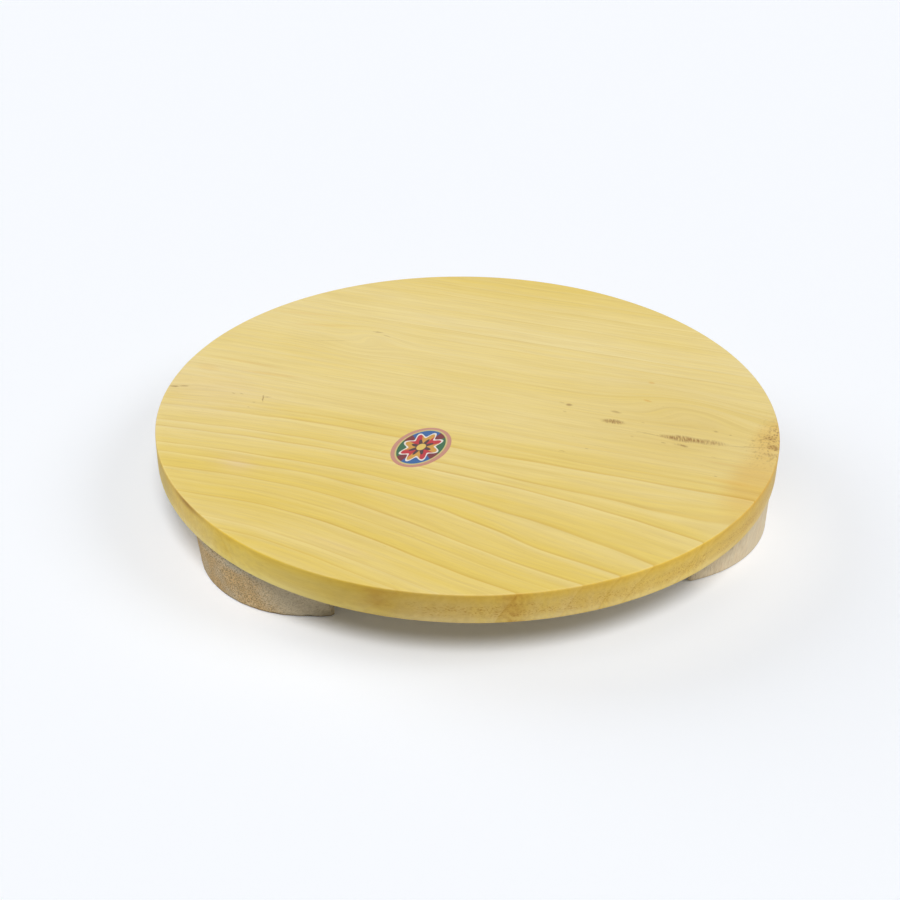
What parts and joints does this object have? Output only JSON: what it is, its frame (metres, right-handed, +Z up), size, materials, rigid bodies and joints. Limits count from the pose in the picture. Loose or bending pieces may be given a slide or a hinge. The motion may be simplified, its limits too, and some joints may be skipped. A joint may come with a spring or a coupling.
{
  "type": "rolling board",
  "caption": "Round wooden board for rolling flatbread, raised on half-moon wooden feet nailed on from beneath, with a small plain oval sticker on top.",
  "frame": {"origin": "on the floor under the centre of the round board", "axes": "+Z up through the board's middle, +Y towards the back foot, -Y the cook's side between the two front feet"},
  "size_m": [0.3, 0.3, 0.0391],
  "materials": {
    "board_wood": "sanded smooth, bare, pale yellow",
    "foot_wood": "sawn, bare, greyish beige",
    "nail_steel": "bright wire, slightly dull",
    "label_print": "glossy printed sticker"
  },
  "bodies": {
    "root": {"rolling_board": "board_wood", "foot_front_left": "foot_wood", "foot_front_right": "foot_wood", "foot_back": "foot_wood", "nails_front_left": "nail_steel", "nails_front_right": "nail_steel", "nails_back": "nail_steel", "oval_label": "label_print"}
  },
  "joints": []
}
